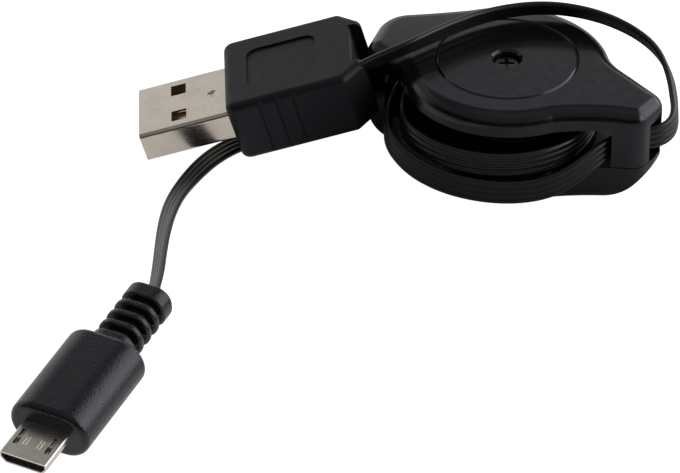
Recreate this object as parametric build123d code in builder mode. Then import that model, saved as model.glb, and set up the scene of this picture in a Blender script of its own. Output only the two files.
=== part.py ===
from build123d import *
import os
from math import cos, radians, sin, sqrt, tan

# A two-ended charging cable on a spring reel. Millimetres, +Z up, the reel standing on Z = 0
# with its spool axis on Z. The cord outlets of the reel point along +X and -X.

# Casing
casing_radius = 14.7
casing_height = 15.4
rim_drop = 0.6
side_gap = 6.2
shell_wall = 1.3
floor_thickness = 1.2
roof_thickness = 1.5
top_edge_radius = 2.2
bottom_edge_radius = 2.2
crown_radius = 400
underside_inset = 1.2
underside_margin = 0.1
underside_dip = 0.3
disc_radius = 9.95
disc_groove_width = 0.5
disc_groove_depth = 0.25
seam_gap = 0.15

# Long outlet of the casing, on the right: end face, flanks and neck
nose_reach = 8.2
nose_bearing = -28.8
nose_face_bearing = -35.6
nose_end_width = 6.5
nose_flank_bearing = -66
nose_neck_bearing = 2
nose_flank_hollow = 0.7
nose_corner_radius = 2.4
nose_neck_radius = 8

# Short outlet of the casing, on the left
lobe_reach = 5.6
lobe_bearing = 154.8
lobe_face_bearing = 161.0
lobe_end_width = 9.0
lobe_flank_bearing = 108
lobe_neck_bearing = 185
lobe_flank_hollow = 0.3
lobe_outer_radius = 5.0
lobe_inner_radius = 2.4
lobe_neck_radius = 6

# Cord slots in the ends of the outlets, and the pillars on both sides of each slot
nose_slot_width = 2.8
nose_slot_bearing = -31
nose_slot_offset = 1.43
lobe_slot_width = 4.8
lobe_slot_bearing = 180
lobe_slot_offset = -7.2
pillar_wall = 1.1
pillar_length = 2.8
nose_pillar_length = 3.7

# Axle, screw and lock ball
axle_radius = 1.9
arbor_radius = 2.6
screw_radius = 0.8
screw_length = 7.0
screw_head_radius = 1.8
screw_head_height = 0.9
screw_recess_radius = 1.95
screw_recess_depth = 1.8
screw_recess_edge = 0.3
cross_width = 0.5
cross_length = 2.2
cross_depth = 0.5
ball_radius = 0.9
lock_bearing = 135
rail_thickness = 0.8
rail_length = 5.0
running_gap = 0.08
seat_gap = 0.05

# Spool
cover_thickness = 0.5
cover_floor_gap = 0.3
barrel_wall = 1.0
barrel_inset = 1.3
flange_thickness = 0.9
flange_gap = 0.5
drum_radius = 4.5
anchor_slot = 1.3
track_width = 3.2
track_rim = 1.1
track_wall = 0.8
track_height = 1.1
track_head_gap = 1.15
pocket_count = 6
pocket_radius = 1.0
pocket_inset = 0.15

# Mainspring
spring_thickness = 0.2
spring_turns = 7
spring_end_gap = 0.3

# Flat cord
cord_width = 3.65
cord_thickness = 1.0
cord_side_gap = 0.35
winding_inset = 2.9
arc_share = 0.45
guide_distance = 6.0

# Wide plug: its mouth's middle, heading and slope, then its pieces
host_mouth = (-51.22, 2.58)
host_heading = 2.3
host_slope = 15.9
host_shell_width = 12.0
host_shell_height = 4.5
host_shell_wall = 0.3
host_shell_reach = 13.2
plug_insert = 3.0
shell_corner = 0.6
window_length = 2.2
window_width = 2.4
window_place = 5.9
window_spacing = 6.3
dimple_radius = 0.75
dimple_place = 10.9
host_tongue_height = 1.85
host_tongue_start = 0.5
host_tongue_end = 10.2
host_contact_count = 4
host_contact_width = 1.0
host_contact_thickness = 0.2
host_contact_spacing = 2.25
host_long_contact_start = 1.3
host_short_contact_start = 2.3
host_body_length = 20.2
host_body_width = 16.8
host_body_height = 9.5
host_front_radius = 1.5
host_edge_radius = 1.1
host_rear_radius = 1.1
host_rear_chamfer = 3.0
host_notch_width = 8.9
host_notch_depth = 3.2
panel_length = 10.1
panel_width = 9.4
panel_place = 8.5
panel_depth = 0.3
panel_corner = 1.6
grip_count = 3
grip_start = 5.0
grip_pitch = 2.45
grip_radius = 0.45
grip_depth = 0.22

# Small plug: its mouth's middle, heading and slope, then its pieces
device_mouth = (-63.77, -74.4)
device_heading = 63.0
device_slope = 6.0
device_shell_width = 6.85
device_shell_base = 5.3
device_shell_height = 1.8
device_shell_wall = 0.25
device_shell_reach = 6.3
device_shell_corner = 0.3
latch_slot_width = 0.7
latch_slot_length = 3.0
latch_slot_start = 1.9
latch_spacing = 4.7
latch_arm_width = 0.45
latch_arm_thickness = 0.2
latch_arm_gap = 0.1
latch_tip = 1.6
latch_root = 6.4
latch_hook_start = 2.4
latch_hook_length = 1.0
latch_hook_proud = 0.25
stamp_width = 0.25
stamp_length = 1.9
stamp_start = 2.2
stamp_depth = 0.12
stamp_places = (-1.25, -0.8, 0.8, 1.25)
device_tongue_height = 0.55
device_tongue_start = 0.5
device_block_start = 6.5
device_contact_count = 5
device_contact_pitch = 0.65
device_contact_width = 0.35
device_contact_thickness = 0.12
device_contact_start = 1.0
device_body_length = 16.2
device_body_width = 11.6
device_body_height = 7.4
device_body_edge = 0.9
relief_core_width = 4.4
relief_core_height = 3.6
relief_rib_width = 6.5
relief_rib_height = 5.2
relief_collar = 1.8
relief_rib = 1.1
relief_groove = 1.0
relief_rib_count = 3
relief_end_collar = 2.6
relief_core_corner = 1.6
relief_rib_corner = 2.3
relief_edge = 0.4

os.makedirs("parts", exist_ok=True)

# Levels that follow from the sizes. The spool's stack hangs from the roof, and the spring barrel
# takes up the height that is left over the floor
roof_bottom = casing_height - roof_thickness
track_top = roof_bottom - track_head_gap
cap_top = track_top - track_height
drum_top = cap_top - flange_thickness
cord_bottom = drum_top - cord_side_gap - cord_width
cord_middle = cord_bottom + cord_width / 2
drum_bottom = cord_bottom - cord_side_gap
flange_bottom = drum_bottom - flange_thickness
cover_bottom = floor_thickness + cover_floor_gap
barrel_bottom = cover_bottom + cover_thickness
barrel_height = flange_bottom - barrel_bottom
lower_height = drum_bottom - rim_drop
upper_bottom = lower_height + side_gap
ball_height = cap_top + seat_gap + ball_radius
screw_floor = casing_height - screw_recess_depth
boss_bottom = screw_floor - floor_thickness
disc_level = casing_height - crown_radius + sqrt(crown_radius**2 - disc_radius**2)
cavity_radius = casing_radius - shell_wall
flange_radius = cavity_radius - flange_gap
barrel_radius = flange_radius - barrel_inset
wound_radius = flange_radius - winding_inset
track_outer_radius = flange_radius - track_wall - track_rim
track_inner_radius = track_outer_radius - track_width
ball_orbit = track_outer_radius - track_width / 2
pocket_orbit = track_outer_radius - pocket_inset


def polar(radius, bearing):
    """Point at a distance and a bearing from the spool axis."""
    return (radius * cos(radians(bearing)), radius * sin(radians(bearing)))


def outlet_corners(reach, bearing, face_bearing, width):
    """Outer and inner corner of an outlet's end face."""
    middle_x, middle_y = polar(casing_radius + reach, bearing)
    across_x, across_y = polar(width / 2, face_bearing + 90)
    return (middle_x - across_x, middle_y - across_y), (middle_x + across_x, middle_y + across_y)


def flank_middle(start, end, hollow):
    """Middle of a hollow flank: the chord's middle moved towards the spool axis."""
    middle = (Vector(*start) + Vector(*end)) / 2
    return middle - middle.normalized() * hollow


# Plan of the casing: a round body with a cord outlet drawn out tangentially on each side
nose_outer, nose_inner = outlet_corners(nose_reach, nose_bearing, nose_face_bearing, nose_end_width)
lobe_outer, lobe_inner = outlet_corners(lobe_reach, lobe_bearing, lobe_face_bearing, lobe_end_width)
nose_flank = polar(casing_radius, nose_flank_bearing)
nose_neck = polar(casing_radius, nose_neck_bearing)
lobe_flank = polar(casing_radius, lobe_flank_bearing)
lobe_neck = polar(casing_radius, lobe_neck_bearing)

with BuildSketch() as casing_plan:
    with BuildLine():
        CenterArc((0, 0), casing_radius, nose_neck_bearing, lobe_flank_bearing - nose_neck_bearing)
        ThreePointArc(lobe_flank, flank_middle(lobe_flank, lobe_outer, lobe_flank_hollow), lobe_outer)
        Line(lobe_outer, lobe_inner)
        Line(lobe_inner, lobe_neck)
        CenterArc((0, 0), casing_radius, lobe_neck_bearing, 360 + nose_flank_bearing - lobe_neck_bearing)
        ThreePointArc(nose_flank, flank_middle(nose_flank, nose_outer, nose_flank_hollow), nose_outer)
        Line(nose_outer, nose_inner)
        Line(nose_inner, nose_neck)
    make_face()
    for corner, radius in (
        (nose_outer, nose_corner_radius),
        (nose_inner, nose_corner_radius),
        (nose_neck, nose_neck_radius),
        (lobe_outer, lobe_outer_radius),
        (lobe_inner, lobe_inner_radius),
        (lobe_neck, lobe_neck_radius),
    ):
        fillet(casing_plan.vertices().sort_by_distance(corner)[0], radius)


def pillar_plan(level, bearing, corner, side_low, side_high, length):
    """Part of the casing's wall at an outlet's end, on one side of its cord slot.

    The wall is the casing's plan less the plan moved inwards; it is kept in a strip along
    the slot's bearing, from the pillar's length before the farther corner to past the end."""
    far = Vector(*corner).dot(Vector(*polar(1, bearing)))
    start = far - length
    run = length + casing_radius
    middle_along = start + run / 2
    middle_across = (side_low + side_high) / 2
    along_x, along_y = polar(middle_along, bearing)
    across_x, across_y = polar(middle_across, bearing + 90)
    with BuildSketch(Plane.XY.offset(level)) as plan:
        add(casing_plan.sketch)
        offset(casing_plan.sketch, amount=-pillar_wall, mode=Mode.SUBTRACT)
        with Locations(Location((along_x + across_x, along_y + across_y, 0), (0, 0, bearing))):
            Rectangle(run, side_high - side_low, mode=Mode.INTERSECT)
    return plan.sketch


nose_slot_low = nose_slot_offset - nose_slot_width / 2
nose_slot_high = nose_slot_offset + nose_slot_width / 2
lobe_slot_low = lobe_slot_offset - lobe_slot_width / 2
lobe_slot_high = lobe_slot_offset + lobe_slot_width / 2

# Underside of the outlets: a bowl that rises in a quarter of an ellipse to the parting line. The
# half under each outlet has its own ellipse, which ends at that outlet's reach
underside_radius = casing_radius - underside_inset
with BuildPart() as underside:
    for outlet_reach, first_bearing in ((nose_reach, -90), (lobe_reach, 90)):
        rim_radius = casing_radius + outlet_reach + underside_margin
        half_plane = Plane(
            origin=(0, 0, 0), x_dir=(*polar(1, first_bearing), 0), z_dir=(*polar(1, first_bearing - 90), 0)
        )
        with BuildSketch(half_plane):
            with BuildLine():
                Line((0, casing_height), (0, -underside_dip))
                Line((0, -underside_dip), (underside_radius, -underside_dip))
                EllipticalCenterArc(
                    (underside_radius, lower_height),
                    rim_radius - underside_radius,
                    lower_height + underside_dip,
                    start_angle=-90,
                    arc_size=90,
                )
                Line((rim_radius, lower_height), (rim_radius, casing_height))
                Line((rim_radius, casing_height), (0, casing_height))
            make_face()
        revolve(axis=Axis.Z, revolution_arc=180)

# Lower shell: a dish with the axle post, a wide arbor for the spring at its foot,
# and the pillar on the inner side of each cord slot
with BuildPart() as lower_shell:
    with BuildSketch():
        add(casing_plan.sketch)
    extrude(amount=lower_height)
    fillet(lower_shell.faces().sort_by(Axis.Z)[0].edges(), bottom_edge_radius)
    add(underside.part, mode=Mode.INTERSECT)
    with BuildSketch(Plane.XY.offset(floor_thickness)):
        Circle(cavity_radius)
    extrude(amount=lower_height, mode=Mode.SUBTRACT)
    add(pillar_plan(lower_height, nose_slot_bearing, nose_inner, nose_slot_high, casing_radius, pillar_length))
    extrude(amount=side_gap - seam_gap)
    add(pillar_plan(lower_height, lobe_slot_bearing, lobe_inner, lobe_slot_high, casing_radius, pillar_length))
    extrude(amount=side_gap - seam_gap)
    with BuildSketch(Plane.XY.offset(floor_thickness)):
        Circle(axle_radius)
    extrude(amount=boss_bottom - floor_thickness)
    with BuildSketch(Plane.XY.offset(floor_thickness)):
        Circle(arbor_radius)
    extrude(amount=flange_bottom - seat_gap - floor_thickness)
    with BuildSketch(Plane.XY.offset(boss_bottom)):
        Circle(screw_radius + seat_gap / 2)
    extrude(amount=-screw_length, mode=Mode.SUBTRACT)
lower_shell.part.label = "lower_shell"
export_step(lower_shell.part, "parts/lower_shell.step")

# Upper shell: a slightly crowned cap with a fine ring groove round its disc, the screw's recess and boss,
# the pillar on the outer side of each cord slot, and two rails that guide the lock ball
with BuildPart() as upper_shell:
    with BuildSketch(Plane.XY.offset(upper_bottom)):
        add(casing_plan.sketch)
    extrude(amount=casing_height - upper_bottom)
    with Locations((0, 0, casing_height - crown_radius)):
        Sphere(crown_radius, mode=Mode.INTERSECT)
    fillet(upper_shell.faces().sort_by(Axis.Z)[-1].edges(), top_edge_radius)
    with BuildSketch(Plane.XY.offset(upper_bottom)):
        Circle(cavity_radius)
    extrude(amount=roof_bottom - upper_bottom, mode=Mode.SUBTRACT)
    add(pillar_plan(upper_bottom, nose_slot_bearing, nose_outer, -casing_radius, nose_slot_low, nose_pillar_length))
    extrude(amount=seam_gap - side_gap)
    add(pillar_plan(upper_bottom, lobe_slot_bearing, lobe_outer, -casing_radius, lobe_slot_low, pillar_length))
    extrude(amount=seam_gap - side_gap)
    with BuildSketch(Plane.XY.offset(boss_bottom)):
        Circle(arbor_radius)
    extrude(amount=roof_bottom - boss_bottom)
    with BuildSketch(Plane.XZ):
        with BuildLine():
            Polyline(
                (disc_radius, disc_level - disc_groove_depth),
                (disc_radius + disc_groove_width, disc_level + disc_groove_depth),
                (disc_radius - disc_groove_width, disc_level + disc_groove_depth),
                close=True,
            )
        make_face()
    revolve(axis=Axis.Z, mode=Mode.SUBTRACT)
    with BuildSketch(Plane.XY.offset(casing_height)):
        Circle(screw_recess_radius)
    extrude(amount=-screw_recess_depth, mode=Mode.SUBTRACT)
    recess_rims = upper_shell.edges().filter_by(GeomType.CIRCLE).sort_by(Axis.Z)
    chamfer(recess_rims.filter_by(lambda rim: abs(rim.radius - screw_recess_radius) < seat_gap)[-1], screw_recess_edge)
    with BuildSketch(Plane.XY.offset(casing_height)):
        Circle(screw_radius + seat_gap)
    extrude(amount=boss_bottom - casing_height, mode=Mode.SUBTRACT)
    rail_offset = ball_radius + running_gap + rail_thickness / 2
    with BuildSketch(Plane.XY.offset(roof_bottom)):
        for rail_side in (-rail_offset, rail_offset):
            along_x, along_y = polar(ball_orbit, lock_bearing)
            across_x, across_y = polar(rail_side, lock_bearing + 90)
            with Locations(Location((along_x + across_x, along_y + across_y, 0), (0, 0, lock_bearing))):
                Rectangle(rail_length, rail_thickness)
    extrude(amount=track_top + 2 * running_gap - roof_bottom)
upper_shell.part.label = "upper_shell"
export_step(upper_shell.part, "parts/upper_shell.step")

# Centre screw: a pan head with a cross recess, screwed down into the axle post
with BuildPart() as centre_screw:
    with BuildSketch(Plane.XY.offset(screw_floor)):
        Circle(screw_head_radius)
    extrude(amount=screw_head_height)
    fillet(centre_screw.faces().sort_by(Axis.Z)[-1].edges(), screw_head_height / 3)
    with BuildSketch(Plane.XY.offset(screw_floor)):
        Circle(screw_radius)
    extrude(amount=-screw_length)
    with BuildSketch(Plane.XY.offset(screw_floor + screw_head_height)):
        Rectangle(cross_length, cross_width)
        Rectangle(cross_width, cross_length)
    extrude(amount=-cross_depth, mode=Mode.SUBTRACT)
centre_screw.part.label = "centre_screw"
export_step(centre_screw.part, "parts/centre_screw.step")

# Spool: spring barrel below the lower flange, drum above it, with a slot across the drum
# where the middle of the cord is held
with BuildPart() as spool:
    with BuildSketch(Plane.XY.offset(barrel_bottom)):
        Circle(barrel_radius)
        Circle(barrel_radius - barrel_wall, mode=Mode.SUBTRACT)
    extrude(amount=barrel_height)
    with BuildSketch(Plane.XY.offset(flange_bottom)):
        Circle(flange_radius)
    extrude(amount=flange_thickness)
    with BuildSketch(Plane.XY.offset(drum_bottom)):
        Circle(drum_radius)
    extrude(amount=drum_top - drum_bottom)
    with BuildSketch(Plane.XY.offset(drum_bottom)):
        Rectangle(2 * casing_radius, anchor_slot)
        Circle(axle_radius + 2 * anchor_slot / 3, mode=Mode.SUBTRACT)
    extrude(amount=drum_top - drum_bottom, mode=Mode.SUBTRACT)
    with BuildSketch(Plane.XY.offset(flange_bottom)):
        Circle(axle_radius + running_gap)
    extrude(amount=drum_top - flange_bottom, mode=Mode.SUBTRACT)
spool.part.label = "spool"
export_step(spool.part, "parts/spool.step")

# Spool cap: the upper flange, with the lock ball's ring track and its pockets on top
with BuildPart() as spool_cap:
    with BuildSketch(Plane.XY.offset(drum_top)):
        Circle(flange_radius)
    extrude(amount=flange_thickness)
    with BuildSketch(Plane.XY.offset(cap_top)):
        Circle(flange_radius - track_wall)
        Circle(track_outer_radius, mode=Mode.SUBTRACT)
        with PolarLocations(pocket_orbit, pocket_count, start_angle=lock_bearing):
            Circle(pocket_radius, mode=Mode.SUBTRACT)
        Circle(track_inner_radius)
        Circle(track_inner_radius - track_wall, mode=Mode.SUBTRACT)
    extrude(amount=track_height)
    with BuildSketch(Plane.XY.offset(drum_top)):
        Circle(axle_radius + running_gap)
    extrude(amount=flange_thickness, mode=Mode.SUBTRACT)
spool_cap.part.label = "spool_cap"
export_step(spool_cap.part, "parts/spool_cap.step")

# Spring cover: a thin washer that closes the spring barrel from below
with BuildPart() as spring_cover:
    with BuildSketch(Plane.XY.offset(cover_bottom)):
        Circle(barrel_radius)
        Circle(arbor_radius + spring_end_gap, mode=Mode.SUBTRACT)
    extrude(amount=cover_thickness)
spring_cover.part.label = "spring_cover"
export_step(spring_cover.part, "parts/spring_cover.step")

# Mainspring: a flat strip wound in half turns whose radius grows by the same step each time,
# from the arbor to the barrel's wall
spring_inner = arbor_radius + seat_gap + spring_thickness / 2
spring_outer = barrel_radius - barrel_wall - seat_gap - spring_thickness / 2
half_turns = 2 * spring_turns
spring_step = (spring_outer - spring_inner) / half_turns
with BuildPart() as mainspring:
    with BuildSketch(Plane.XY.offset(barrel_bottom + spring_end_gap)):
        with BuildLine() as spring_line:
            for half_turn in range(half_turns):
                side = 180 * (half_turn % 2)
                shift = -spring_step / 2 if half_turn % 2 else spring_step / 2
                CenterArc((shift, 0), spring_inner + spring_step * (half_turn + 0.5), side, 180)
        trace(spring_line.line, line_width=spring_thickness)
    extrude(amount=barrel_height - 2 * spring_end_gap)
mainspring.part.label = "mainspring"
export_step(mainspring.part, "parts/mainspring.step")

# Lock ball: a steel ball between the rails of the upper shell and the track of the spool cap
with BuildPart() as lock_ball:
    with Locations((*polar(ball_orbit, lock_bearing), ball_height)):
        Sphere(ball_radius)
lock_ball.part.label = "lock_ball"
export_step(lock_ball.part, "parts/lock_ball.step")

# Wound cord: the turns on the drum as one ring
with BuildPart() as wound_cord:
    with BuildSketch(Plane.XY.offset(cord_bottom)):
        Circle(wound_radius)
        Circle(drum_radius + seat_gap, mode=Mode.SUBTRACT)
    extrude(amount=cord_width)
wound_cord.part.label = "wound_cord"
export_step(wound_cord.part, "parts/wound_cord.step")

# Routes of the two strands, each from the winding to its plug, with the lean of the flat cord as
# a fourth number: 90 stands on edge, 0 lies flat
long_route = [
    (*polar(11.0, 62), 8.6, 90),
    (*polar(11.8, 90), 8.6, 90),
    (*polar(12.7, 117), 8.6, 90),
    (*polar(13.6, 142), 8.6, 90),
    (*polar(14.7, 164), 8.6, 90),
    (-16.2, -1.4, 8.2, 90),
    (-17.1, -6.5, 6.9, 90),
    (-14.2, -11.2, 5.4, 90),
    (-9.7, -14.2, 4.4, 90),
    (-4.8, -15.9, 4.0, 90),
    (0.0, -16.5, 3.9, 90),
    (4.6, -16.2, 4.3, 90),
    (8.4, -15.4, 5.7, 90),
    (11.3, -13.8, 7.4, 90),
    (14.2, -11.5, 8.4, 90),
    (17.3, -10.7, 8.9, 90),
    (20.0, -10.6, 9.2, 90),
    (21.7, -9.9, 9.4, 89),
    (22.8, -8.7, 9.7, 86),
    (23.3, -7.0, 10.1, 83),
    (23.3, -4.9, 10.7, 79),
    (23.2, -2.3, 11.7, 73),
    (22.7, 0.3, 12.9, 67),
    (21.6, 2.8, 14.2, 61),
    (19.5, 5.0, 15.3, 57),
    (16.5, 7.0, 16.2, 55),
    (12.8, 8.4, 17.0, 55),
    (8.5, 9.4, 17.4, 55),
    (4.4, 9.7, 17.4, 56),
    (0.3, 8.9, 17.4, 58),
    (-3.9, 7.1, 17.4, 62),
    (-7.7, 4.5, 17.4, 65),
    (-11.1, 1.9, 17.4, 65),
    (-13.9, -0.2, 17.3, 61),
    (-16.5, -0.9, 16.5, 54),
    (-19.2, -0.7, 14.9, 46),
    (-21.6, -0.2, 13.2, 41),
    (-23.4, 0.1, 11.9, 38),
]
short_route = [
    (*polar(10.65, 96), 8.6, 90),
    (*polar(11.1, 118), 8.6, 90),
    (*polar(11.8, 143), 8.6, 90),
    (*polar(12.9, 166), 8.6, 90),
    (-14.4, -1.2, 8.5, 90),
    (-14.8, -6.6, 8.1, 90),
    (-11.3, -11.6, 7.9, 90),
    (-5.8, -14.8, 7.9, 90),
    (0.0, -15.6, 7.9, 90),
    (5.4, -14.2, 8.0, 90),
    (9.6, -11.2, 8.2, 90),
    (12.0, -6.6, 8.6, 90),
    (12.9, -1.2, 8.6, 90),
    (12.2, 4.7, 8.6, 90),
    (9.3, 9.5, 8.6, 90),
    (4.4, 12.6, 8.6, 90),
    (-1.4, 13.4, 8.6, 90),
    (-6.8, 12.5, 8.6, 90),
    (-11.5, 10.7, 8.6, 90),
    (-15.3, 8.9, 8.4, 68),
    (-18.3, 7.5, 7.65, 37),
    (-20.4, 6.2, 5.1, 20),
    (-22.1, 5.2, 3.2, 18),
    (-24.4, 4.4, 2.5, 14),
    (-27.4, 3.5, 1.6, 6),
    (-31.1, 2.6, 0.9, 1),
    (-35.2, 1.7, 0.65, 2),
    (-38.9, -0.6, 0.68, 3),
    (-41.9, -4.4, 0.95, 10),
    (-44.3, -9.6, 1.5, 19),
    (-46.2, -15.4, 2.3, 33),
    (-47.1, -21.3, 3.1, 49),
    (-47.5, -27.5, 4.0, 60),
    (-47.7, -33.7, 4.9, 64),
    (-47.9, -39.6, 5.75, 61),
    (-48.5, -44.8, 6.5, 59),
]


def rounded_line(points):
    """Straight runs joined by tangent arcs, each as large as its two runs allow."""
    radii = []
    for before, here, after in zip(points, points[1:], points[2:]):
        run_in = Vector(*here) - Vector(*before)
        run_out = Vector(*after) - Vector(*here)
        half_turn = radians(run_in.get_angle(run_out)) / 2
        radii.append(arc_share * min(run_in.length, run_out.length) / tan(half_turn))
    with BuildLine() as line:
        FilletPolyline(*points, radius=radii)
    return line.wire(), radii


def guide_points(points, leans):
    """Points beside a route, in the direction of the flat cord's width at each point."""
    beside = []
    for place, lean in enumerate(leans):
        before = Vector(*points[max(place - 1, 0)])
        after = Vector(*points[min(place + 1, len(points) - 1)])
        heading = (after - before).normalized()
        level = Vector(0, 0, 1).cross(heading).normalized()
        rise = heading.cross(level)
        width_way = level * cos(radians(lean)) + rise * sin(radians(lean))
        beside.append(tuple(Vector(*points[place]) + width_way * guide_distance))
    return beside


def flat_cord(name, points, guide):
    """Flat cord swept along a route, its width following the guide beside it."""
    path, radii = rounded_line(points)
    width_way = guide @ 0 - path @ 0
    with BuildPart() as cord:
        with BuildSketch(Plane(origin=path @ 0, x_dir=width_way, z_dir=path % 0)):
            Rectangle(cord_width, cord_thickness)
        sweep(path=path, binormal=guide)
    cord.part.label = name
    export_step(cord.part, f"parts/{name}.step")
    section = cord_width * cord_thickness
    print(name, "radii", [round(radius, 1) for radius in radii])
    print(name, "length", round(path.length, 1), "volume", round(cord.part.volume, 1))
    print(name, "section times length", round(path.length * section, 1))


# The long strand leans towards the plug as it comes over the reel; the short one turns flat
# under the wide plug
for strand_name, strand_route in (("long_strand", long_route), ("short_strand", short_route)):
    strand_points = [stop[:3] for stop in strand_route]
    strand_leans = [stop[3] for stop in strand_route]
    strand_guide = rounded_line(guide_points(strand_points, strand_leans))[0]
    flat_cord(strand_name, strand_points, strand_guide)


def plug_planes(mouth, low_height, heading, slope):
    """A plug's own planes at the middle of its mouth: one across it, one along it.

    The lowest edge of the mouth or body stands low_height below the axis, square to it."""
    ahead = Vector(cos(radians(heading)), sin(radians(heading)), 0) * cos(radians(slope))
    ahead = ahead + Vector(0, 0, sin(radians(slope)))
    aside = Vector(-sin(radians(heading)), cos(radians(heading)), 0)
    origin = (mouth[0], mouth[1], low_height)
    across = Plane(origin=origin, x_dir=aside, z_dir=ahead)
    along = Plane(origin=origin, x_dir=ahead, z_dir=ahead.cross(aside))
    return across, along


# Wide plug: it stands on the lower edge of its mouth
host_across, host_along = plug_planes(
    host_mouth, host_shell_height / 2 * cos(radians(host_slope)), host_heading, host_slope
)
host_shell_length = host_shell_reach + plug_insert
host_inner_width = host_shell_width - 2 * host_shell_wall
host_inner_height = host_shell_height - 2 * host_shell_wall
host_inner_corner = shell_corner - host_shell_wall
host_tongue_top = host_tongue_height - host_inner_height / 2

# Shell of the wide plug: a folded steel tube with two windows above and below
with BuildPart() as host_plug_shell:
    with BuildSketch(host_across):
        RectangleRounded(host_shell_width, host_shell_height, shell_corner)
        RectangleRounded(host_inner_width, host_inner_height, host_inner_corner, mode=Mode.SUBTRACT)
    extrude(amount=host_shell_length)
    with BuildSketch(host_along):
        with GridLocations(0, window_spacing, 1, 2):
            with Locations((window_place, 0)):
                Rectangle(window_length, window_width)
    extrude(amount=host_shell_height, both=True, mode=Mode.SUBTRACT)
    with BuildSketch(host_along):
        with Locations((dimple_place, 0)):
            Circle(dimple_radius)
    extrude(amount=host_shell_height, mode=Mode.SUBTRACT)
host_plug_shell.part.label = "host_plug_shell"
export_step(host_plug_shell.part, "parts/host_plug_shell.step")

# Insulator of the wide plug: a tongue along the lower wall and a block that fills the tube behind it
with BuildPart() as host_plug_insulator:
    tongue_width = host_inner_width - 2 * seat_gap
    with BuildSketch(host_across.offset(host_tongue_start)):
        RectangleRounded(tongue_width, host_inner_height, host_inner_corner)
        with Locations((0, host_tongue_top - host_shell_height)):
            Rectangle(host_shell_width, 2 * host_shell_height, mode=Mode.INTERSECT)
    extrude(amount=host_tongue_end - host_tongue_start)
    with BuildSketch(host_across.offset(host_tongue_end)):
        RectangleRounded(tongue_width, host_inner_height, host_inner_corner)
    extrude(amount=host_shell_length - host_tongue_end)
host_plug_insulator.part.label = "host_plug_insulator"
export_step(host_plug_insulator.part, "parts/host_plug_insulator.step")

# Contacts of the wide plug: the outer two reach further forward than the inner two
for number in range(host_contact_count):
    aside = (number - (host_contact_count - 1) / 2) * host_contact_spacing
    outermost = number in (0, host_contact_count - 1)
    start = host_long_contact_start if outermost else host_short_contact_start
    with BuildPart() as host_plug_contact:
        with BuildSketch(host_across.offset(start)):
            with Locations((aside, host_tongue_top + host_contact_thickness / 2)):
                Rectangle(host_contact_width, host_contact_thickness)
        extrude(amount=host_tongue_end - start)
    host_plug_contact.part.label = f"host_plug_contact_{number + 1}"
    export_step(host_plug_contact.part, f"parts/host_plug_contact_{number + 1}.step")

# Grip of the wide plug: rounded block with cut rear corners, a cord notch at the rear,
# a sunk panel on top and upright grip grooves on both sides
host_front = host_shell_reach
host_rear = host_front + host_body_length
body_half = host_body_width / 2
with BuildPart() as host_plug_grip:
    with BuildSketch(host_along) as grip_plan:
        with BuildLine():
            Polyline(
                (host_front, -body_half),
                (host_rear - host_rear_chamfer, -body_half),
                (host_rear, -body_half + host_rear_chamfer),
                (host_rear, body_half - host_rear_chamfer),
                (host_rear - host_rear_chamfer, body_half),
                (host_front, body_half),
                close=True,
            )
        make_face()
        fillet(grip_plan.vertices().sort_by(Axis.X)[2:], host_rear_radius)
        fillet(grip_plan.vertices().sort_by(Axis.X)[:2], host_front_radius)
    extrude(amount=host_body_height / 2, both=True)
    grip_levels = host_plug_grip.faces().sort_by(Axis(host_along.origin, host_along.z_dir))
    fillet(grip_levels[0].edges() + grip_levels[-1].edges(), host_edge_radius)
    with BuildSketch(host_along):
        with Locations((host_rear, 0)):
            Rectangle(2 * host_notch_depth, host_notch_width)
    extrude(amount=host_body_height, both=True, mode=Mode.SUBTRACT)
    with BuildSketch(host_along.offset(host_body_height / 2)):
        with Locations((host_front + panel_place, 0)):
            RectangleRounded(panel_length, panel_width, panel_corner)
    extrude(amount=-panel_depth, mode=Mode.SUBTRACT)
    with BuildSketch(host_along):
        with Locations((host_front + grip_start + grip_pitch * (grip_count - 1) / 2, 0)):
            with GridLocations(grip_pitch, host_body_width + 2 * (grip_radius - grip_depth), grip_count, 2):
                Circle(grip_radius)
    extrude(amount=host_body_height, both=True, mode=Mode.SUBTRACT)
    with BuildSketch(host_across.offset(host_front)):
        RectangleRounded(host_shell_width, host_shell_height, shell_corner)
    extrude(amount=plug_insert, mode=Mode.SUBTRACT)
host_plug_grip.part.label = "host_plug_grip"
export_step(host_plug_grip.part, "parts/host_plug_grip.step")

# Small plug: it stands on the front lower edge of its grip
device_rise = device_body_height / 2 * cos(radians(device_slope))
device_drop = device_shell_reach * sin(radians(device_slope))
device_across, device_along = plug_planes(
    device_mouth, device_rise - device_drop, device_heading, device_slope
)
device_shell_length = device_shell_reach + plug_insert
shell_top = device_shell_height / 2
tongue_top = device_tongue_height + device_shell_wall - shell_top
latch_top = shell_top - device_shell_wall - latch_arm_gap
latch_low = latch_top - latch_arm_thickness
hook_top = shell_top + latch_hook_proud
hook_end = latch_hook_start + latch_hook_length

# Section of the small plug's shell: wide above, with cut corners below
with BuildSketch() as device_section:
    with BuildLine():
        Polyline(
            (-device_shell_base / 2, -shell_top),
            (device_shell_base / 2, -shell_top),
            (device_shell_width / 2, -shell_top / 9),
            (device_shell_width / 2, shell_top),
            (-device_shell_width / 2, shell_top),
            (-device_shell_width / 2, -shell_top / 9),
            close=True,
        )
    make_face()
    fillet(device_section.vertices(), device_shell_corner)

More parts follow.
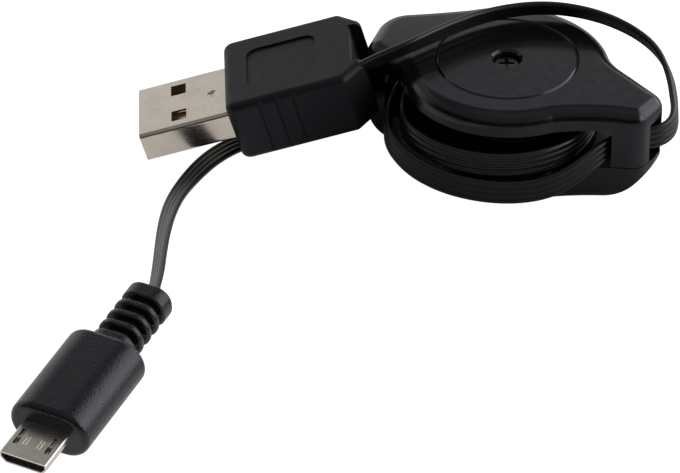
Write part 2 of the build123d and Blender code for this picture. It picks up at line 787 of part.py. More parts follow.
# Shell of the small plug: a folded steel tube with two latch slots and four short stamped lines
with BuildPart() as device_plug_shell:
    with BuildSketch(device_across):
        add(device_section.sketch)
        offset(device_section.sketch, amount=-device_shell_wall, mode=Mode.SUBTRACT)
    extrude(amount=device_shell_length)
    with BuildSketch(device_along):
        with Locations((latch_slot_start + latch_slot_length / 2, 0)):
            with GridLocations(0, latch_spacing, 1, 2):
                Rectangle(latch_slot_length, latch_slot_width)
    extrude(amount=device_shell_height, mode=Mode.SUBTRACT)
    with BuildSketch(device_along.offset(shell_top)):
        for place in stamp_places:
            with Locations((stamp_start + stamp_length / 2, place)):
                Rectangle(stamp_length, stamp_width)
    extrude(amount=-stamp_depth, mode=Mode.SUBTRACT)
device_plug_shell.part.label = "device_plug_shell"
export_step(device_plug_shell.part, "parts/device_plug_shell.step")

# Insulator of the small plug: a thin tongue along the lower wall and a block behind the latch
with BuildPart() as device_plug_insulator:
    with BuildSketch(device_across.offset(device_tongue_start)):
        offset(device_section.sketch, amount=-device_shell_wall - seat_gap / 2)
        with Locations((0, tongue_top - device_shell_height)):
            Rectangle(device_shell_width, 2 * device_shell_height, mode=Mode.INTERSECT)
    extrude(amount=device_shell_length - device_tongue_start)
    with BuildSketch(device_across.offset(device_block_start)):
        offset(device_section.sketch, amount=-device_shell_wall - seat_gap / 2)
    extrude(amount=device_shell_length - device_block_start)
device_plug_insulator.part.label = "device_plug_insulator"
export_step(device_plug_insulator.part, "parts/device_plug_insulator.step")

# Contacts of the small plug, side by side on its tongue
for number in range(device_contact_count):
    aside = (number - (device_contact_count - 1) / 2) * device_contact_pitch
    with BuildPart() as device_plug_contact:
        with BuildSketch(device_across.offset(device_contact_start)):
            with Locations((aside, tongue_top + device_contact_thickness / 2)):
                Rectangle(device_contact_width, device_contact_thickness)
        extrude(amount=device_block_start - device_contact_start)
    device_plug_contact.part.label = f"device_plug_contact_{number + 1}"
    export_step(device_plug_contact.part, f"parts/device_plug_contact_{number + 1}.step")

# Latch of the small plug: one stamped spring with two hooked arms and a bridge behind them
device_side = Plane(
    origin=device_across.origin, x_dir=device_along.x_dir, z_dir=-device_across.x_dir
)
with BuildPart() as device_plug_latch:
    for arm_side in (-latch_spacing / 2, latch_spacing / 2):
        with BuildSketch(device_side.offset(arm_side)):
            with BuildLine():
                Polyline(
                    (latch_tip, latch_low),
                    (latch_root, latch_low),
                    (latch_root, latch_top),
                    (hook_end, latch_top),
                    (hook_end - latch_hook_length / 4, hook_top),
                    (latch_hook_start + latch_hook_length / 2, hook_top),
                    (latch_hook_start, latch_top),
                    (latch_tip, latch_top),
                    close=True,
                )
            make_face()
        extrude(amount=latch_arm_width / 2, both=True)
    with BuildSketch(device_along.offset(latch_low)):
        with Locations((latch_root - latch_arm_width / 2, 0)):
            Rectangle(latch_arm_width, latch_spacing)
    extrude(amount=latch_arm_thickness)
device_plug_latch.part.label = "device_plug_latch"
export_step(device_plug_latch.part, "parts/device_plug_latch.step")

# Grip of the small plug: a racetrack body, and behind it the ribbed strain relief in one moulding
device_front = device_shell_reach
device_rear = device_front + device_body_length
relief_length = relief_collar + relief_rib_count * (relief_groove + relief_rib) + relief_groove + relief_end_collar
with BuildPart() as device_plug_grip:
    with BuildSketch(device_across.offset(device_front)):
        SlotOverall(device_body_width, device_body_height)
    extrude(amount=device_body_length)
    body_ends = device_plug_grip.faces().sort_by(Axis(device_along.origin, device_along.x_dir))
    fillet(body_ends[0].edges() + body_ends[-1].edges(), device_body_edge)
    with BuildSketch(device_across.offset(device_rear - device_body_edge)):
        RectangleRounded(relief_core_width, relief_core_height, relief_core_corner)
    extrude(amount=relief_length + device_body_edge)
    rib_starts = [(device_rear - device_body_edge, relief_collar + device_body_edge)]
    for number in range(relief_rib_count):
        rib_place = device_rear + relief_collar + relief_groove + number * (relief_groove + relief_rib)
        rib_starts.append((rib_place, relief_rib))
    rib_starts.append((device_rear + relief_length - relief_end_collar, relief_end_collar))
    for rib_place, rib_length in rib_starts:
        with BuildPart(mode=Mode.ADD) as relief_rib_ring:
            with BuildSketch(device_across.offset(rib_place)):
                RectangleRounded(relief_rib_width, relief_rib_height, relief_rib_corner)
            extrude(amount=rib_length)
            ring_ends = relief_rib_ring.faces().sort_by(Axis(device_along.origin, device_along.x_dir))
            fillet(ring_ends[0].edges() + ring_ends[-1].edges(), relief_edge)
    with BuildSketch(device_across.offset(device_front)):
        add(device_section.sketch)
    extrude(amount=plug_insert, mode=Mode.SUBTRACT)
device_plug_grip.part.label = "device_plug_grip"
export_step(device_plug_grip.part, "parts/device_plug_grip.step")
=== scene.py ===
import bpy
import numpy as np
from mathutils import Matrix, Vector


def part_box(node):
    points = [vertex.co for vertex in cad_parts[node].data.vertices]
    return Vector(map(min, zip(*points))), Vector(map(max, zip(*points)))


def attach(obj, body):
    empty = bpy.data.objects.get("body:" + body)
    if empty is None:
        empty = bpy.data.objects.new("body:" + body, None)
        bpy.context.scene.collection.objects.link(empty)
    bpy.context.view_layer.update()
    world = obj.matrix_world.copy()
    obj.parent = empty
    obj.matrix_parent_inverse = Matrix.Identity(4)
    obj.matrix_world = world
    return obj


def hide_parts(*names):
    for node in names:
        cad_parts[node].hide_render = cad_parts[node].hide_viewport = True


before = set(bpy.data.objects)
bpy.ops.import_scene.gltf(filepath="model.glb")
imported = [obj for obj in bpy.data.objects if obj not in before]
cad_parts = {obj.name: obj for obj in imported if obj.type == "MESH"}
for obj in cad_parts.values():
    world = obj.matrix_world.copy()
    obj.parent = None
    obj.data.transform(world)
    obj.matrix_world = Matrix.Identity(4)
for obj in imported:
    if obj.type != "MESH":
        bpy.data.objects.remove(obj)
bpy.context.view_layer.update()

# Lower shell of the reel: an injection-moulded dish of black plastic with the axle post in its
# middle. Its skin is smooth and half glossy, with the faint cloudiness of a polished mould.


def joined(tree, source, target):
    """Joins one node's output socket to another node's input socket."""
    tree.links.new(source, target)


def noise_of(tree, place, scale, detail, roughness=0.55):
    """Noise read at a place; the scale is in waves per metre."""
    noise = tree.nodes.new("ShaderNodeTexNoise")
    noise.inputs["Scale"].default_value = scale
    noise.inputs["Detail"].default_value = detail
    noise.inputs["Roughness"].default_value = roughness
    joined(tree, place, noise.inputs["Vector"])
    return noise.outputs["Fac"]


def spread(tree, value, low, high, to_low, to_high):
    """Straight-line change of a value from one range to another, held at the ends."""
    change = tree.nodes.new("ShaderNodeMapRange")
    for name, number in (("From Min", low), ("From Max", high), ("To Min", to_low), ("To Max", to_high)):
        change.inputs[name].default_value = number
    joined(tree, value, change.inputs["Value"])
    return change.outputs["Result"]


def between(tree, share, first, second):
    """Colour that goes from the first to the second with a share from 0 to 1."""
    blend = tree.nodes.new("ShaderNodeMix")
    blend.data_type = "RGBA"
    blend.inputs["A"].default_value = (*first, 1)
    blend.inputs["B"].default_value = (*second, 1)
    joined(tree, share, blend.inputs["Factor"])
    return blend.outputs["Result"]


def relief(tree, height, depth, before=None):
    """Bump of a height from 0 to 1 with a depth in metres, on top of an earlier bump."""
    bump = tree.nodes.new("ShaderNodeBump")
    bump.inputs["Strength"].default_value = 1.0
    bump.inputs["Distance"].default_value = depth
    joined(tree, height, bump.inputs["Height"])
    if before is not None:
        joined(tree, before, bump.inputs["Normal"])
    return bump.outputs["Normal"]


def new_finish(name):
    """Empty material with its tree, its shader and its object coordinates."""
    finish = bpy.data.materials.new(name)
    finish.use_nodes = True
    tree = finish.node_tree
    shader = tree.nodes["Principled BSDF"]
    place = tree.nodes.new("ShaderNodeTexCoord").outputs["Object"]
    return finish, tree, shader, place


noise_low, noise_high = 0.3, 0.7
cloud_waves, polish_waves = 240, 900
polish_below, polish_above = 0.03, 0.05
cool_shine = (0.88, 0.89, 1, 1)


def moulded_plastic(name, colour, lift, roughness, grain_waves, grain_depth, specular=0.5):
    """Moulded plastic: a colour with a faint lift in clouds, a skin of fine grain, and a
    roughness that wanders by a few hundredths, as a mould's polish does."""
    finish, tree, shader, place = new_finish(name)
    clouds = spread(tree, noise_of(tree, place, cloud_waves, 3), noise_low, noise_high, 0, 1)
    joined(tree, between(tree, clouds, colour, tuple(c * lift for c in colour)), shader.inputs["Base Color"])
    polish = noise_of(tree, place, polish_waves, 4)
    glossy, dull = roughness - polish_below, roughness + polish_above
    joined(tree, spread(tree, polish, noise_low, noise_high, glossy, dull), shader.inputs["Roughness"])
    skin = noise_of(tree, place, grain_waves, 2)
    joined(tree, relief(tree, skin, grain_depth), shader.inputs["Normal"])
    shader.inputs["Specular IOR Level"].default_value = specular
    shader.inputs["Specular Tint"].default_value = cool_shine
    return finish


def dressed(finish, *names):
    """Puts a finish on CAD nodes, in place of the one that they came with."""
    for name in names:
        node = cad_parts[name]
        node.data.materials.clear()
        node.data.materials.append(finish)


casing_black = moulded_plastic("casing_black", (0.006, 0.006, 0.0068), lift=1.4, roughness=0.2,
                               grain_waves=5200, grain_depth=0.0000015)
dressed(casing_black, "lower_shell")

# Mainspring and its cover: a strip of bright spring steel wound round the foot of the axle post,
# shut into the spool's barrel from below by a thin moulded washer.
line_stretch, line_depth = 0.06, 0.0000006
line_below, line_above = 0.08, 0.1
patch_waves, patch_dimming = 350, 0.86


def rolled_steel(name, colour, roughness, turn, line_waves):
    """Rolled sheet metal: fine drawn lines along one direction, which a turn about the upright
    axis sets, and slow patches of brighter and duller polish."""
    finish, tree, shader, place = new_finish(name)
    along = tree.nodes.new("ShaderNodeMapping")
    along.inputs["Rotation"].default_value = (0, 0, -np.radians(turn))
    along.inputs["Scale"].default_value = (line_stretch, 1, 1)
    joined(tree, place, along.inputs["Vector"])
    drawn = noise_of(tree, along.outputs["Vector"], line_waves, 3, 0.7)
    patches = spread(tree, noise_of(tree, place, patch_waves, 3), 0.25, 0.75, 0, 1)
    tint = between(tree, patches, tuple(patch_dimming * c for c in colour), colour)
    joined(tree, tint, shader.inputs["Base Color"])
    glossy, dull = roughness - line_below, roughness + line_above
    joined(tree, spread(tree, drawn, 0.2, 0.8, glossy, dull), shader.inputs["Roughness"])
    joined(tree, relief(tree, drawn, line_depth), shader.inputs["Normal"])
    shader.inputs["Metallic"].default_value = 1.0
    return finish


spring_steel = rolled_steel("spring_steel", (0.56, 0.56, 0.58), roughness=0.3, turn=0, line_waves=4000)
dressed(spring_steel, "mainspring")
spool_black = moulded_plastic("spool_black", (0.005, 0.005, 0.0055), lift=1.4, roughness=0.42,
                              grain_waves=4200, grain_depth=0.000004, specular=0.3)
dressed(spool_black, "spring_cover")

# Spool and cord winding: one black moulding with the barrel below and the drum above. The flat
# cord lies on the drum in turns on edge, so the winding shows the cord's four ribs outside.
dressed(spool_black, "spool")


def surface_piece(name, grid, finish, round_way=True, ends_closed=True, uv=None):
    """Mesh of a grid of points: rows follow the piece's length, columns go round its section.
    The seam is closed by wrapping the last column to the first, and each end by a fan to the
    middle of its row. A map, where there is one, holds two texture coordinates for each point."""
    rows, columns = grid.shape[:2]
    here = np.arange(rows * columns).reshape(rows, columns)
    beside = np.roll(here, -1, axis=1)
    if not round_way:
        here, beside = here[:, :-1], beside[:, :-1]
    quads = np.stack([here[:-1], beside[:-1], beside[1:], here[1:]], axis=-1).reshape(-1, 4)
    points = grid.reshape(-1, 3)
    faces = quads.tolist()
    if ends_closed:
        points = np.vstack([points, grid[0].mean(axis=0), grid[-1].mean(axis=0)])
        first, last = rows * columns, rows * columns + 1
        faces += [[first, b, a] for a, b in zip(here[0].tolist(), beside[0].tolist())]
        faces += [[last, a, b] for a, b in zip(here[-1].tolist(), beside[-1].tolist())]
    mesh = bpy.data.meshes.new(name)
    mesh.from_pydata(points.tolist(), [], faces)
    mesh.polygons.foreach_set("use_smooth", np.ones(len(mesh.polygons), bool))
    if uv is not None:
        corners = np.empty(len(mesh.loops), int)
        mesh.loops.foreach_get("vertex_index", corners)
        flat = np.vstack([uv.reshape(-1, 2), uv[0].mean(axis=0), uv[-1].mean(axis=0)])
        layer = mesh.uv_layers.new(name="run")
        layer.data.foreach_set("uv", flat[corners].ravel())
    mesh.materials.append(finish)
    piece = bpy.data.objects.new(name, mesh)
    bpy.context.scene.collection.objects.link(piece)
    return piece


cord_width, core_count, core_radius, core_pitch = 0.00365, 4, 0.00047, 0.00091
web_half, edge_softness, section_points = 0.00033, 0.00004, 49
outer_core = (core_count - 1) / 2 * core_pitch


def cord_section(count):
    """Closed section of the flat cord: four round cores side by side in one jacket. At a place
    across, the half thickness is the height of the nearest core's circle, or of the web
    between the cores where that is more. Gives the place across and the thickness, all round."""
    sweep = np.linspace(-np.pi / 2, np.pi / 2, count)
    across = (outer_core + core_radius) * np.sin(sweep)
    cores = np.linspace(-outer_core, outer_core, core_count)
    circles = np.sqrt(np.clip(core_radius**2 - (across[:, None] - cores) ** 2, 0, None)).max(axis=1)
    inner = np.abs(across) < outer_core
    half = np.where(inner, np.maximum(circles, web_half), circles)
    half = np.hypot(half, edge_softness) - edge_softness
    return np.concatenate([across, across[-2:0:-1]]), np.concatenate([half, -half[-2:0:-1]])


jacket_dark, jacket_light = (0.007, 0.007, 0.0074), (0.0115, 0.0113, 0.0115)
jacket_glossy, jacket_dull = 0.28, 0.38
streaks_along, streaks_across, streak_depth = 90, 5200, 0.000005
jacket_waves, jacket_depth = 3800, 0.000004


def cord_jacket():
    """Cord jacket: soft black plastic with drawn-out streaks along its run, read from the
    piece's own map, and a dull skin that shines a little on the ribs."""
    finish, tree, shader, place = new_finish("cord_jacket")
    run = tree.nodes.new("ShaderNodeUVMap")
    run.uv_map = "run"
    drawn = tree.nodes.new("ShaderNodeMapping")
    drawn.inputs["Scale"].default_value = (streaks_along, streaks_across, 1)
    joined(tree, run.outputs["UV"], drawn.inputs["Vector"])
    streaks = noise_of(tree, drawn.outputs["Vector"], 1, 3)
    shade = between(tree, spread(tree, streaks, noise_low, noise_high, 0, 1), jacket_dark, jacket_light)
    joined(tree, shade, shader.inputs["Base Color"])
    joined(tree, spread(tree, streaks, 0.25, 0.75, jacket_glossy, jacket_dull), shader.inputs["Roughness"])
    skin = noise_of(tree, place, jacket_waves, 2)
    streaked = relief(tree, streaks, streak_depth)
    joined(tree, relief(tree, skin, jacket_depth, streaked), shader.inputs["Normal"])
    shader.inputs["Specular IOR Level"].default_value = 0.5
    return finish


jacket = cord_jacket()
winding_low, winding_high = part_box("wound_cord")
winding_outer = winding_high[0]
winding_inner = 0.00455
winding_middle = (winding_low[2] + winding_high[2]) / 2
turn_count, steps_per_turn = 4.7, 180
across, thick = cord_section(section_points)


def wound_turns():
    """Spiral of cord on edge: the cord's section, with its width upright and its thickness along
    the radius, turned round the spool axis while the radius grows evenly with the angle. Its map
    is the length along the spiral, which is the sum of radius times turn, and the place across."""
    share = np.linspace(0, 1, round(turn_count * steps_per_turn) + 1)[:, None]
    angle = 2 * np.pi * turn_count * share
    middle = winding_inner + core_radius + (winding_outer - winding_inner - 2 * core_radius) * share
    reach = middle - thick[None, :]
    height = winding_middle + across[None, :]
    points = np.stack(np.broadcast_arrays(reach * np.cos(angle), reach * np.sin(angle), height), axis=-1)
    run = np.concatenate([[0], np.cumsum((middle * np.gradient(angle, axis=0))[1:, 0])])
    chart = np.stack(np.broadcast_arrays(run[:, None], across[None, :]), axis=-1)
    return points, chart


turns, winding_run = wound_turns()
winding = surface_piece("cord_winding", turns, jacket, uv=winding_run)
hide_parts("wound_cord")
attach(winding, "reel")

# Spool cap and lock ball: the cap closes the drum and carries the lock's ring track, and a bright
# steel ball rolls in the track between two rails of the upper shell.
dressed(spool_black, "spool_cap")
ball_steel = rolled_steel("ball_steel", (0.74, 0.74, 0.76), roughness=0.14, turn=0, line_waves=3000)
dressed(ball_steel, "lock_ball")

# Wide plug: a folded nickel-plated tube, a brown insulator with four gold-flashed contacts,
# and a matt black grip moulded over them.
wide_heading, wide_slope = 2.3, 15.9
plug_nickel = rolled_steel("plug_nickel", (0.68, 0.612, 0.53), roughness=0.22, turn=wide_heading,
                           line_waves=5200)
dressed(plug_nickel, "host_plug_shell")


def plug_axes(heading, slope):
    """Directions ahead, aside and up of a plug, from its heading and its slope in degrees."""
    turn, rise = np.radians(heading), np.radians(slope)
    ahead = np.array([np.cos(rise) * np.cos(turn), np.cos(rise) * np.sin(turn), np.sin(rise)])
    aside = np.array([-np.sin(turn), np.cos(turn), 0])
    return np.array([ahead, aside, np.cross(ahead, aside)])


wide_mouth = np.array([-0.05122, 0.00258, 0.002164])
wide_axes = plug_axes(wide_heading, wide_slope)


def on_wide_plug(along, aside, height):
    """Points along, aside and over the wide plug's own axes, from the middle of its mouth."""
    return wide_mouth + np.stack(np.broadcast_arrays(along, aside, height), axis=-1) @ wide_axes


dimple_place, dimple_radius, dimple_depth = 0.0109, 0.00074, 0.00022
dimple_rim, dimple_floor = 0.00223, 0.001977
dish_rings, floor_rings, ring_points, inmost_ring = 12, 4, 40, 0.02


def pressed_dimple():
    """Dimple pressed into the shell's top: rings round its middle that rise from its depth to the
    rim with the square of their radius, closed below by a flat floor of the same rim."""
    dish = np.linspace(inmost_ring, 1, dish_rings)
    floor = np.linspace(1 - inmost_ring, inmost_ring, floor_rings)
    radius = dimple_radius * np.concatenate([dish, floor])[:, None]
    dished = dimple_rim - dimple_depth * (1 - dish**2)
    height = np.concatenate([dished, np.full(floor_rings, dimple_floor)])[:, None]
    angle = np.linspace(0, -2 * np.pi, ring_points, endpoint=False)[None, :]
    return on_wide_plug(dimple_place + radius * np.cos(angle), radius * np.sin(angle), height)


dimple = surface_piece("host_shell_dimple", pressed_dimple(), plug_nickel)
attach(dimple, "casing")
insulator_brown = moulded_plastic("insulator_brown", (0.34, 0.225, 0.135), lift=1.2, roughness=0.42,
                                  grain_waves=4000, grain_depth=0.000003)
dressed(insulator_brown, "host_plug_insulator")
contact_gold = rolled_steel("contact_gold", (0.83, 0.62, 0.27), roughness=0.24, turn=wide_heading,
                            line_waves=6000)
dressed(contact_gold, *(f"host_plug_contact_{number}" for number in range(1, 5)))
grip_black = moulded_plastic("grip_black", (0.0065, 0.0065, 0.0078), lift=1.3, roughness=0.46,
                             grain_waves=6500, grain_depth=0.00001, specular=0.3)
dressed(grip_black, "host_plug_grip")

# Rear wall of the wide plug's grip: the moulding's inner step in the notch at its rear, where the
# long strand goes in. It is of the grip's plastic, and its upper rear edge is rounded.
step_front, step_rear, step_edge = 0.0298, 0.0319, 0.0005
step_foot, step_top, step_half = -0.0012, 0.004745, 0.00444
edge_points, step_rows = 9, 12


def rear_step():
    """Section of the step carried straight across the plug: a flat top, a quarter round of the
    edge's radius down to the upright rear face, and a square foot inside the notch."""
    turn = np.linspace(np.pi / 2, 0, edge_points)
    edge_along = step_rear - step_edge * (1 - np.cos(turn))
    edge_height = step_top - step_edge * (1 - np.sin(turn))
    along = np.concatenate([[step_front], edge_along, [step_rear, step_front]])[None, :]
    height = np.concatenate([[step_top], edge_height, [step_foot, step_foot]])[None, :]
    return on_wide_plug(along, np.linspace(-step_half, step_half, step_rows)[:, None], height)


grip_step = surface_piece("host_grip_step", rear_step(), grip_black)
step_faces = grip_step.data.polygons
step_faces.foreach_set("use_smooth", np.zeros(len(step_faces), bool))
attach(grip_step, "casing")

# Small plug: a nickel tube with a sprung steel latch, a black insulator with five contacts, and a
# glossier grip that ends in a ribbed strain relief, all moulded in one piece over the cord.
small_heading, small_slope = 63, 6
small_nickel = rolled_steel("small_nickel", (0.8, 0.75, 0.68), roughness=0.28, turn=small_heading,
                            line_waves=5200)
dressed(small_nickel, "device_plug_shell")
dressed(spring_steel, "device_plug_latch")
dressed(spool_black, "device_plug_insulator")
dressed(contact_gold, *(f"device_plug_contact_{number}" for number in range(1, 6)))


def worked(tree, operation, first, second=0):
    """Result of one step of arithmetic on two values, each a socket or a number."""
    step = tree.nodes.new("ShaderNodeMath")
    step.operation = operation
    for socket, value in zip(step.inputs, (first, second)):
        if isinstance(value, (int, float)):
            socket.default_value = value
        else:
            joined(tree, value, socket)
    return step.outputs[0]


def measured(tree, operation, place, point=(0, 0, 0)):
    """Number that a place gives, by itself or with a point or a direction."""
    step = tree.nodes.new("ShaderNodeVectorMath")
    step.operation = operation
    step.inputs[1].default_value = point
    joined(tree, place, step.inputs[0])
    return step.outputs["Value"]


small_mouth = np.array([-0.06377, -0.0744, 0.003021])
small_up = plug_axes(small_heading, small_slope)[2]
parting_level = float(small_up @ small_mouth)
ridge_half, ridge_height = 0.00009, 0.00003
gate_place = (-0.05429, -0.06449, 0.00149)
gate_inner, gate_outer, gate_depth = 0.0003, 0.00065, 0.00025
leather_waves, leather_depth, fine_waves, fine_depth = 4600, 0.00003, 9000, 0.000004
leather_dark, leather_light = (0.0055, 0.0055, 0.0062), (0.0095, 0.0095, 0.0106)
leather_glossy, leather_dull = 0.23, 0.31


def leathery_plastic():
    """Spark-eroded black plastic: rounded grains a fifth of a millimetre wide with smaller ones
    between them, a fine ridge where the mould's halves met, in the plug's middle plane, and the
    small round pit of the mould's gate in its side."""
    finish, tree, shader, place = new_finish("leathery_plastic")
    shader.inputs["Specular Tint"].default_value = cool_shine
    grains = tree.nodes.new("ShaderNodeTexVoronoi")
    grains.feature = "SMOOTH_F1"
    grains.inputs["Scale"].default_value = leather_waves
    grains.inputs["Smoothness"].default_value = 0.6
    joined(tree, place, grains.inputs["Vector"])
    fine = noise_of(tree, place, fine_waves, 2)
    tint = between(tree, spread(tree, fine, noise_low, noise_high, 0, 1), leather_dark, leather_light)
    joined(tree, tint, shader.inputs["Base Color"])
    roughness = spread(tree, fine, noise_low, noise_high, leather_glossy, leather_dull)
    joined(tree, roughness, shader.inputs["Roughness"])
    above = worked(tree, "SUBTRACT", measured(tree, "DOT_PRODUCT", place, small_up), parting_level)
    ridge = relief(tree, spread(tree, worked(tree, "ABSOLUTE", above), 0, ridge_half, 1, 0), ridge_height)
    from_gate = measured(tree, "DISTANCE", place, gate_place)
    gate = relief(tree, spread(tree, from_gate, gate_inner, gate_outer, 0, 1), gate_depth, ridge)
    grained = relief(tree, spread(tree, grains.outputs["Distance"], 0, 0.8, 1, 0), leather_depth, gate)
    joined(tree, relief(tree, fine, fine_depth, grained), shader.inputs["Normal"])
    return finish


dressed(leathery_plastic(), "device_plug_grip")

# Two strands of the flat cord: each comes off the winding, leaves the reel through its outlet and
# runs to its plug. The long one loops over the top of the reel, the short one dives under the
# wide plug. The width direction leans from upright (90 degrees) to flat (0).
points_per_stop, lean_window = 16, 33


def spline_points(name, route):
    """Points read from the smooth spline that has the route as its control points."""
    curve = bpy.data.curves.new(name, "CURVE")
    curve.dimensions = "3D"
    curve.resolution_u = points_per_stop
    spline = curve.splines.new("NURBS")
    spline.points.add(len(route) - 1)
    spline.points.foreach_set("co", np.column_stack([route, np.ones(len(route))]).ravel())
    spline.order_u = 3
    spline.use_endpoint_u = True
    holder = bpy.data.objects.new(name, curve)
    line = bpy.data.meshes.new_from_object(holder)
    points = np.empty(3 * len(line.vertices))
    line.vertices.foreach_get("co", points)
    bpy.data.objects.remove(holder)
    bpy.data.curves.remove(curve)
    bpy.data.meshes.remove(line)
    return points.reshape(-1, 3)


def strand_grid(line, lean):
    """The cord's section carried along a line. At each point the level direction is square to
    the heading and to the upright, and the width leans from it towards the rising direction."""
    heading = np.gradient(line, axis=0)
    heading /= np.linalg.norm(heading, axis=1, keepdims=True)
    level = np.cross((0, 0, 1), heading)
    level /= np.linalg.norm(level, axis=1, keepdims=True)
    rising = np.cross(heading, level)
    tilt = np.radians(lean)[:, None]
    width_way = level * np.cos(tilt) + rising * np.sin(tilt)
    thick_way = np.cross(heading, width_way)
    sideways = across[None, :, None] * width_way[:, None]
    return line[:, None] + sideways - thick[None, :, None] * thick_way[:, None]


def strand(name, node, stops):
    """A strand from its list of stops, each a point in millimetres and a lean in degrees. The
    lean goes straight from stop to stop and is then evened out over a short run of points. A
    stop acts half a step before its number along the line, because the spline is quadratic."""
    stops = np.array(stops)
    line = spline_points(name, stops[:, :3] / 1000)
    share = np.linspace(0, len(stops) - 2, len(line))
    stop_share = np.clip(np.arange(len(stops)) - 0.5, 0, len(stops) - 2)
    lean = np.interp(share, stop_share, stops[:, 3])
    padded = np.pad(lean, lean_window // 2, mode="edge")
    evened = np.convolve(padded, np.full(lean_window, 1 / lean_window), mode="valid")
    steps = np.linalg.norm(np.diff(line, axis=0), axis=1)
    run = np.concatenate([[0], np.cumsum(steps)])
    chart = np.stack(np.broadcast_arrays(run[:, None], across[None, :]), axis=-1)
    piece = surface_piece(name, strand_grid(line, evened), jacket, uv=chart)
    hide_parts(node)
    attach(piece, "casing")


def from_axis(radius, bearing):
    """Point at a distance and a bearing from the spool axis."""
    return radius * np.cos(np.radians(bearing)), radius * np.sin(np.radians(bearing))


strand("long_cord_strand", "long_strand", [
    (*from_axis(11.0, 62), 8.6, 90), (*from_axis(11.8, 90), 8.6, 90), (*from_axis(12.7, 117), 8.6, 90),
    (*from_axis(13.6, 142), 8.6, 90), (*from_axis(14.7, 164), 8.6, 90), (-16.2, -1.4, 8.2, 90),
    (-17.1, -6.5, 6.9, 90), (-14.2, -11.2, 5.4, 90), (-9.7, -14.2, 4.4, 90), (-4.8, -15.9, 4.0, 90),
    (0.0, -16.5, 3.9, 90), (4.6, -16.2, 4.3, 90), (8.4, -15.4, 5.7, 90), (11.3, -13.8, 7.4, 90),
    (14.2, -11.5, 8.4, 90), (17.3, -10.7, 8.9, 90), (20.0, -10.6, 9.2, 90), (21.7, -9.9, 9.4, 89),
    (22.8, -8.7, 9.7, 86), (23.3, -7.0, 10.1, 83), (23.3, -4.9, 10.7, 79), (23.2, -2.3, 11.7, 73),
    (22.7, 0.3, 12.9, 67), (21.6, 2.8, 14.2, 61), (19.5, 5.0, 15.3, 57), (16.5, 7.0, 16.2, 55),
    (12.8, 8.4, 17.0, 55), (8.5, 9.4, 17.4, 55), (4.4, 9.7, 17.4, 56), (0.3, 8.9, 17.4, 58),
    (-3.9, 7.1, 17.4, 62), (-7.7, 4.5, 17.4, 65), (-11.1, 1.9, 17.4, 65), (-13.9, -0.2, 17.3, 61),
    (-16.5, -0.9, 16.5, 54), (-19.2, -0.7, 14.9, 46), (-21.6, -0.2, 13.2, 41), (-23.4, 0.1, 11.9, 38),
])
strand("short_cord_strand", "short_strand", [
    (*from_axis(10.65, 96), 8.6, 90), (*from_axis(11.1, 118), 8.6, 90), (*from_axis(11.8, 143), 8.6, 90),
    (*from_axis(12.9, 166), 8.6, 90), (-14.4, -1.2, 8.5, 90), (-14.8, -6.6, 8.1, 90), (-11.3, -11.6, 7.9, 90),
    (-5.8, -14.8, 7.9, 90), (0.0, -15.6, 7.9, 90), (5.4, -14.2, 8.0, 90), (9.6, -11.2, 8.2, 90),
    (12.0, -6.6, 8.6, 90), (12.9, -1.2, 8.6, 90), (12.2, 4.7, 8.6, 90), (9.3, 9.5, 8.6, 90),
    (4.4, 12.6, 8.6, 90), (-1.4, 13.4, 8.6, 90), (-6.8, 12.5, 8.6, 90), (-11.5, 10.7, 8.6, 90),
    (-15.3, 8.9, 8.4, 68), (-18.3, 7.5, 7.65, 37), (-20.4, 6.2, 5.1, 20), (-22.1, 5.2, 3.2, 18),
    (-24.4, 4.4, 2.5, 14), (-27.4, 3.5, 1.6, 6), (-31.1, 2.6, 0.9, 1), (-35.2, 1.7, 0.65, 2),
    (-38.9, -0.6, 0.68, 3), (-41.9, -4.4, 0.95, 10), (-44.3, -9.6, 1.5, 19), (-46.2, -15.4, 2.3, 33),
    (-47.1, -21.3, 3.1, 49), (-47.5, -27.5, 4.0, 60), (-47.7, -33.7, 4.9, 64), (-47.9, -39.6, 5.75, 61),
    (-48.5, -44.8, 6.5, 59),
])

# Upper shell and centre screw: the shell closes the reel over the spool, and one dark screw with
# a cross recess holds it to the axle post.
dressed(casing_black, "upper_shell")
screw_black = rolled_steel("screw_black", (0.1, 0.1, 0.105), roughness=0.22, turn=20, line_waves=3000)
dressed(screw_black, "centre_screw")

# Table and light: a plain white table in a room with a bright back wall, two soft lamps on the
# right, and the photograph's long-lens view.
table_half = 3.0
# Painted shadow of the reel in the table's reflections, from its inner to its outer radius.
painted_shadow_inner, painted_shadow_outer = 0.022, 0.034
# Painted glow in the table's reflections: strong under the plugs on the left, low towards the reel, a little
# more on the right.
plugs_end, reel_start, painted_glow_under_plugs, painted_glow_elsewhere = -0.036, -0.026, 0.5, 0.1
right_start, right_end, painted_glow_right = -0.005, 0.02, 0.1


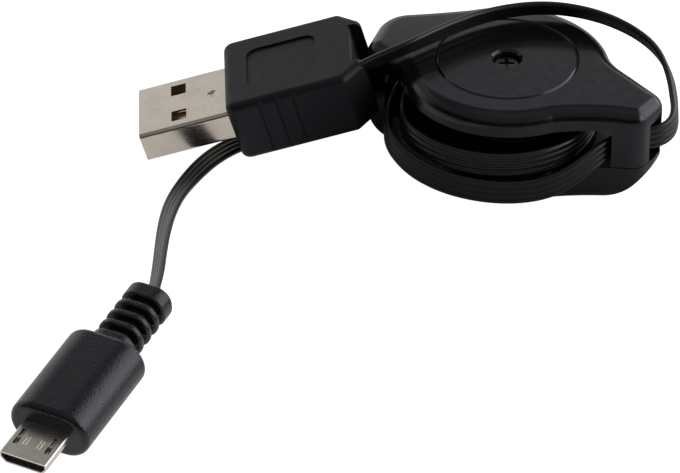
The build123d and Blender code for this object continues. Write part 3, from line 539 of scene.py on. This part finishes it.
def white_table():
    """White table top: plain white to the eye and dimmer in reflections, where a glow is painted on. It is
    brightest under the two plugs, on the left, and a painted shadow of the reel darkens it close to the reel."""
    finish, tree, shader, place = new_finish("white_table")
    shader.inputs["Base Color"].default_value = (0.5, 0.5, 0.5, 1)
    shader.inputs["Roughness"].default_value = 0.9
    shader.inputs["Specular IOR Level"].default_value = 0.0
    rays = tree.nodes.new("ShaderNodeLightPath")
    parts = tree.nodes.new("ShaderNodeSeparateXYZ")
    joined(tree, place, parts.inputs[0])
    # Painted shadow: the painted glow fades out close to the reel.
    beyond_painted_shadow = spread(tree, measured(tree, "LENGTH", place), painted_shadow_inner, painted_shadow_outer, 0, 1)
    left = spread(tree, parts.outputs["X"], plugs_end, reel_start, painted_glow_under_plugs, painted_glow_elsewhere)
    right = spread(tree, parts.outputs["X"], right_start, right_end, 0, painted_glow_right)
    painted_glow = worked(tree, "MULTIPLY", worked(tree, "ADD", left, right), beyond_painted_shadow)
    # Glossy rays see the painted glow as a painted reflection; the camera sees plain white.
    painted_reflection = worked(tree, "MULTIPLY", rays.outputs["Is Glossy Ray"], painted_glow)
    seen = worked(tree, "MAXIMUM", rays.outputs["Is Camera Ray"], rays.outputs["Is Transmission Ray"])
    shader.inputs["Emission Color"].default_value = (1, 1, 1, 1)
    joined(tree, worked(tree, "MAXIMUM", seen, painted_reflection), shader.inputs["Emission Strength"])
    return finish


table_side = np.array([-table_half, table_half])
table_grid = np.stack([*np.meshgrid(table_side, table_side, indexing="ij"), np.zeros((2, 2))], axis=-1)
table = surface_piece("table", table_grid, white_table(), round_way=False, ends_closed=False)


def height_shades(tree, height, shades):
    """Greys by the height of a direction, each a sine of elevation and a brightness."""
    ramp = tree.nodes.new("ShaderNodeValToRGB")
    steps = ramp.color_ramp.elements
    for step, (sine, grey) in zip(steps, (shades[0], shades[-1])):
        step.position = sine
        step.color = (grey, grey, grey, 1)
    for sine, grey in shades[1:-1]:
        steps.new(sine).color = (grey, grey, grey, 1)
    joined(tree, height, ramp.inputs["Fac"])
    return ramp.outputs["Color"]


back_shades = (
    (0, 0.8), (0.35, 0.95), (0.45, 0.88), (0.5, 0.75), (0.535, 0.6), (0.555, 0.1), (0.59, 0.1),
    (0.615, 0.4), (0.65, 0.85), (0.69, 0.6), (0.75, 0.15), (0.87, 0.12), (1, 0.34),
)
front_shades = ((0, 0.01), (0.45, 0.01), (0.55, 0.24), (0.87, 0.24), (1, 0.34))
front_edge, back_edge = -0.15, 0.35


def studio():
    """Room round the table. Behind the object a bright wall goes up to about 30 degrees, with a
    dark gap and a softer panel over it. The front of the room is dark up to 30 degrees and dim
    above, and the two halves run into each other beside the object."""
    world = bpy.data.worlds.new("studio")
    world.use_nodes = True
    tree = world.node_tree
    parts = tree.nodes.new("ShaderNodeSeparateXYZ")
    joined(tree, tree.nodes.new("ShaderNodeTexCoord").outputs["Generated"], parts.inputs[0])
    room = tree.nodes.new("ShaderNodeMix")
    room.data_type = "RGBA"
    joined(tree, spread(tree, parts.outputs["Y"], front_edge, back_edge, 0, 1), room.inputs["Factor"])
    joined(tree, height_shades(tree, parts.outputs["Z"], front_shades), room.inputs["A"])
    joined(tree, height_shades(tree, parts.outputs["Z"], back_shades), room.inputs["B"])
    joined(tree, room.outputs["Result"], tree.nodes["Background"].inputs["Color"])
    tree.nodes["Background"].inputs["Strength"].default_value = 1.0
    bpy.context.scene.world = world


studio()
lamp_aim = (-0.02, -0.02, 0)


def soft_lamp(name, place, size, power):
    """Square area lamp that looks from its place at the middle of the object."""
    lamp = bpy.data.lights.new(name, "AREA")
    lamp.size = size
    lamp.energy = power
    holder = bpy.data.objects.new(name, lamp)
    holder.location = place
    way = Vector(lamp_aim) - Vector(place)
    holder.rotation_euler = way.to_track_quat("-Z", "Y").to_euler()
    bpy.context.scene.collection.objects.link(holder)


soft_lamp("lamp_right", (0.6, 0.15, 0.32), size=0.75, power=2.8)
soft_lamp("lamp_low", (0.55, -0.25, 0.25), size=0.3, power=0.9)

view = bpy.data.cameras.new("photo_view")
view.lens = 230.33
view.sensor_width = 36
view.clip_start, view.clip_end = 0.05, 20
eye = bpy.data.objects.new("photo_view", view)
eye.location = (-0.02332, -0.50546, 0.35436)
view_aim = Vector((-0.02332, -0.02128, 0))
eye.rotation_euler = (view_aim - eye.location).to_track_quat("-Z", "Y").to_euler()
bpy.context.scene.collection.objects.link(eye)
bpy.context.scene.camera = eye
bpy.context.scene.view_settings.view_transform = "Standard"
